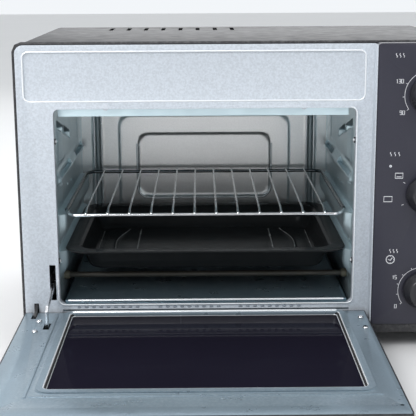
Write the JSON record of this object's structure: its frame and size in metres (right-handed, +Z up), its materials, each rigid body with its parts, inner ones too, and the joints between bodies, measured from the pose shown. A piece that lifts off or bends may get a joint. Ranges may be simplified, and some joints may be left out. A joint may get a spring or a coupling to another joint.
{
  "type": "toaster oven",
  "caption": "Countertop toaster oven with a drop-down glass door standing open, a wire rack, a black baking tray, a crumb tray and rotary controls on the right.",
  "frame": {"origin": "middle of the bounding box with the door open, on the table under the feet", "axes": "+Z up, -Y out through the door, +X to the right as seen from the front"},
  "size_m": [0.4842, 0.6086, 0.3313],
  "materials": {
    "front_frame": "satin silver-white sheet with a fine speckle",
    "black_sheet": "fine-textured black powder coat",
    "cavity_lining": "galvanised sheet",
    "cavity_back": "galvanised sheet",
    "cavity_floor": "galvanised sheet, dulled by heat",
    "fascia": "charcoal moulding with printed scales",
    "plated_steel": "zinc plated",
    "bright_steel": "bright nickel plated",
    "lamp_lens": "amber-red translucent",
    "phenolic": "brown phenolic",
    "copper_tube": "copper capillary",
    "ceramic": "unglazed white ceramic",
    "black_plastic": "satin black",
    "door_inner": "blue-grey coated steel",
    "door_glass": "smoked tempered glass",
    "door_shell": "satin black",
    "handle_plastic": "satin black",
    "chrome_wire": "bright chrome",
    "enamel": "gloss black enamel",
    "crumb_tray": "galvanised sheet",
    "rubber_foot": "matt black",
    "element_tube": "oxidised steel sheath",
    "knob_plastic": "black with a white pointer line"
  },
  "bodies": {
    "oven_body": {"front_frame": "front_frame", "outer_casing": "black_sheet", "back_cover": "black_sheet", "base_plate": "black_sheet", "cavity_wall_left": "cavity_lining", "cavity_wall_right": "cavity_lining", "cavity_ceiling": "cavity_lining", "cavity_back": "cavity_back", "cavity_floor": "cavity_floor", "heat_shield": "cavity_lining", "control_fascia": "fascia", "control_bracket": "plated_steel", "lamp_lens": "lamp_lens", "thermostat": "phenolic", "thermostat_bulb": "copper_tube", "function_switch": "phenolic", "timer_unit": "plated_steel", "timer_bell": "bright_steel", "terminal_block": "ceramic", "cord_gland": "black_plastic", "hinge_bracket": "bright_steel", "hinge_pin_left": "bright_steel", "hinge_pin_right": "bright_steel", "spring_anchor": "plated_steel", "door_spring": "bright_steel", "foot_1": "rubber_foot", "foot_2": "rubber_foot", "foot_3": "rubber_foot", "foot_4": "rubber_foot", "element_lower_front": "element_tube", "element_lower_rear": "element_tube", "element_upper_front": "element_tube", "element_upper_rear": "element_tube", "bush_lower_front_left": "ceramic", "bush_lower_front_right": "ceramic", "bush_lower_rear_left": "ceramic", "bush_lower_rear_right": "ceramic", "bush_upper_front_left": "ceramic", "bush_upper_front_right": "ceramic", "bush_upper_rear_left": "ceramic", "bush_upper_rear_right": "ceramic"},
    "door": {"door_inner": "door_inner", "door_glass": "door_glass", "door_shell": "door_shell", "door_handle": "handle_plastic", "link_pin": "bright_steel", "door_screw_1": "bright_steel", "door_screw_2": "bright_steel", "door_screw_3": "bright_steel", "door_screw_4": "bright_steel"},
    "hinge_link": {"hinge_link": "bright_steel"},
    "rack": {"wire_rack": "chrome_wire"},
    "tray": {"baking_tray": "enamel"},
    "crumb_drawer": {"crumb_tray": "crumb_tray"},
    "temperature_control": {"knob_temperature": "knob_plastic", "shaft_temperature": "plated_steel"},
    "function_control": {"knob_function": "knob_plastic", "shaft_function": "plated_steel"},
    "timer_control": {"knob_timer": "knob_plastic", "shaft_timer": "plated_steel"}
  },
  "joints": [
    {"name": "door_hinge", "type": "hinge", "parent": "oven_body", "child": "door", "pos_m": [0, -0.03275, 0.0345], "axis": [-1, 0, 0], "range_deg": [0, 90], "deforming": ["door_spring"]},
    {"name": "link_pivot", "type": "hinge", "parent": "door", "child": "hinge_link", "pos_m": [-0.20995, -0.07275, 0.0327], "axis": [-1, 0, 0], "range_deg": [-30, 0]},
    {"name": "rack_slide", "type": "slide", "parent": "oven_body", "child": "rack", "axis": [0, 1, 0], "range_m": [-0.2, 0]},
    {"name": "tray_slide", "type": "slide", "parent": "oven_body", "child": "tray", "axis": [0, 1, 0], "range_m": [-0.2, 0]},
    {"name": "crumb_tray_slide", "type": "slide", "parent": "oven_body", "child": "crumb_drawer", "axis": [0, 1, 0], "range_m": [-0.2, 0]},
    {"name": "temperature_knob", "type": "hinge", "parent": "oven_body", "child": "temperature_control", "pos_m": [0.18865, -0.05375, 0.278], "axis": [0, 1, 0], "range_deg": [0, 280]},
    {"name": "function_knob", "type": "hinge", "parent": "oven_body", "child": "function_control", "pos_m": [0.18865, -0.05375, 0.173], "axis": [0, 1, 0], "range_deg": [0, 270]},
    {"name": "timer_knob", "type": "hinge", "parent": "oven_body", "child": "timer_control", "pos_m": [0.18865, -0.05375, 0.068], "axis": [0, 1, 0], "range_deg": [0, 300]}
  ],
  "couplings": [
    {"joint": "link_pivot", "follows": "door_hinge", "ratio": -0.3333}
  ]
}
